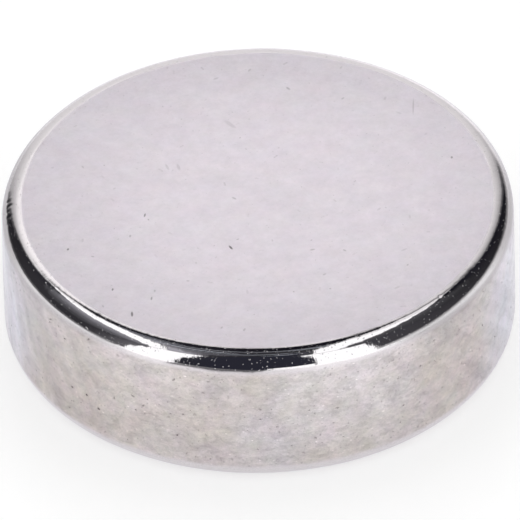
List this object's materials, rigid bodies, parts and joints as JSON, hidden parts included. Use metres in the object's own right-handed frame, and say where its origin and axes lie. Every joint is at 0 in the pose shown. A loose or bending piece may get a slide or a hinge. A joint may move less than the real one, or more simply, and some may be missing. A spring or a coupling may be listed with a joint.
{
  "type": "disc magnet",
  "caption": "Flat round magnet with rolled edges and a bright nickel plated skin, a plain disc that sits flat or drops into a round pocket.",
  "frame": {"origin": "centre of the lower flat face", "axes": "+Z along the disc's axis, through its thickness; X and Y lie across the disc and are alike"},
  "size_m": [0.01, 0.01, 0.003],
  "materials": {
    "nickel_plating": "bright nickel plating, mirror smooth on the rolled edges, slightly rippled on the wall and finely pitted on the faces"
  },
  "bodies": {
    "root": {"magnet_disc": "nickel_plating"}
  },
  "joints": []
}
